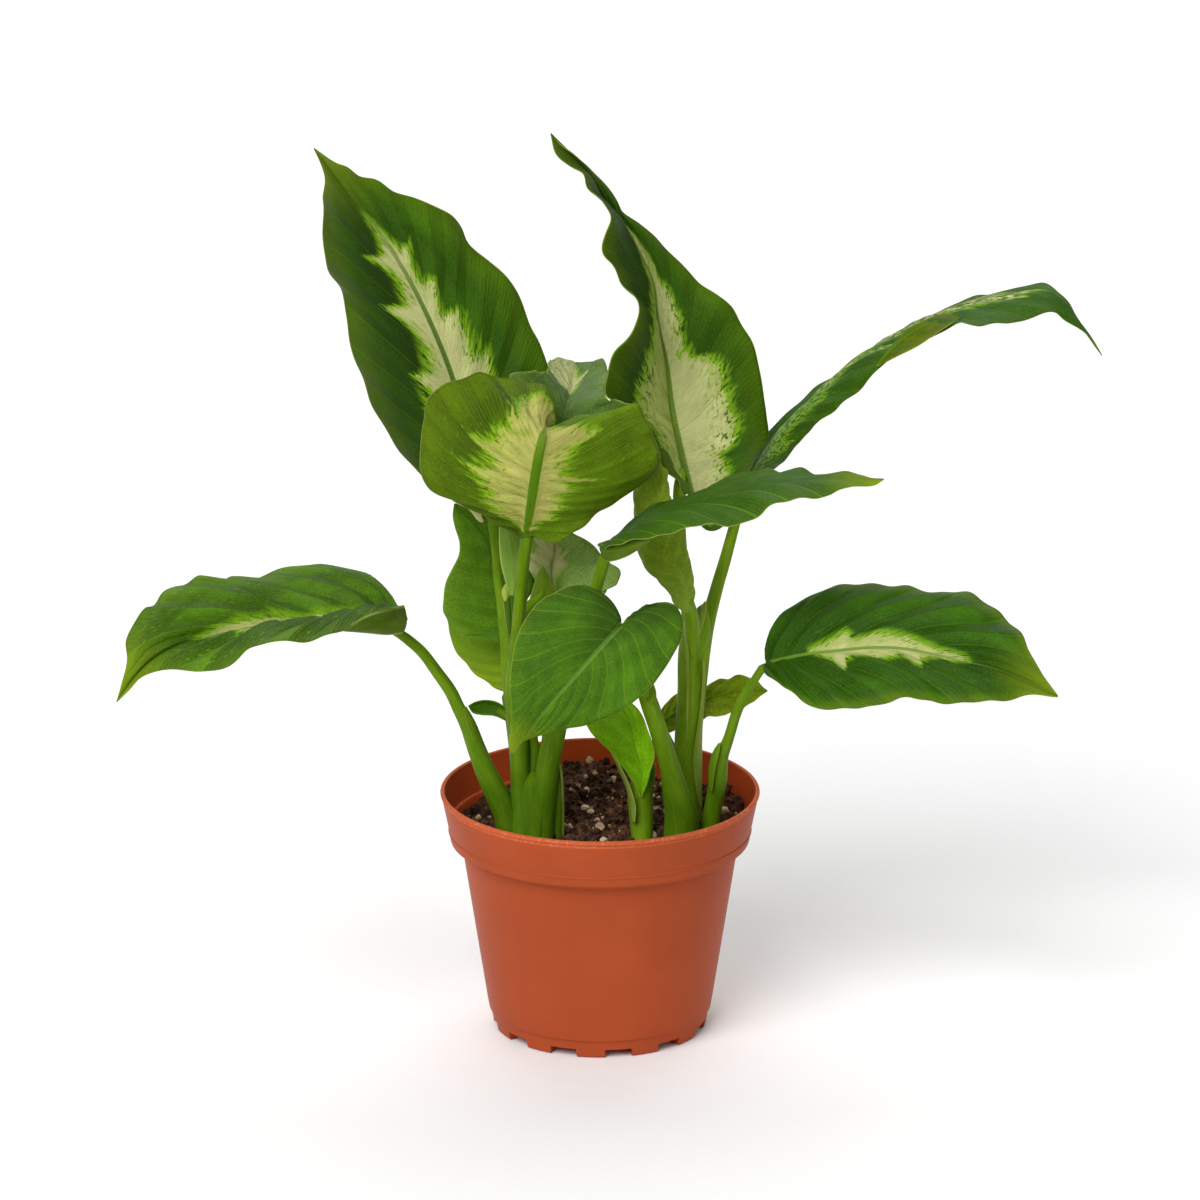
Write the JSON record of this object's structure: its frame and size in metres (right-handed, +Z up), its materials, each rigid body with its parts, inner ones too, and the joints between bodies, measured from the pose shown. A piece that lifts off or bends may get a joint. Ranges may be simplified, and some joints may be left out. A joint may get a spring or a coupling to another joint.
{
  "type": "potted foliage plant",
  "caption": "Dieffenbachia with cream-centred green leaves on upright stalks, growing in soil with white grains in a round tapered plastic nursery pot.",
  "frame": {"origin": "centre of the pot's foot, on the surface it stands on", "axes": "+Z up, +X to the right and +Y to the back as pictured"},
  "size_m": [0.3163, 0.1221, 0.302],
  "materials": {
    "pot": "satin moulded plastic, lightly scuffed",
    "soil": null,
    "stalk": null,
    "leaf": null,
    "young_leaf": null
  },
  "bodies": {
    "root": {"pot": "pot", "soil": "soil", "left_shoots": "stalk", "centre_shoot": "stalk", "right_front_shoot": "stalk", "right_shoot": "stalk", "right_low_shoot": "stalk", "leaf_tall_left": "leaf", "leaf_front_under": "leaf", "leaf_back_top": "leaf", "leaf_top_centre": "leaf", "leaf_long_right": "leaf", "leaf_front_narrow": "leaf", "leaf_heart": "leaf", "leaf_left_low": "leaf", "leaf_right_low": "leaf", "leaf_back_left": "leaf", "leaf_rolled": "young_leaf", "leaf_back_centre": "leaf", "leaf_right_back": "leaf", "leaf_young_centre": "young_leaf"}
  },
  "joints": []
}
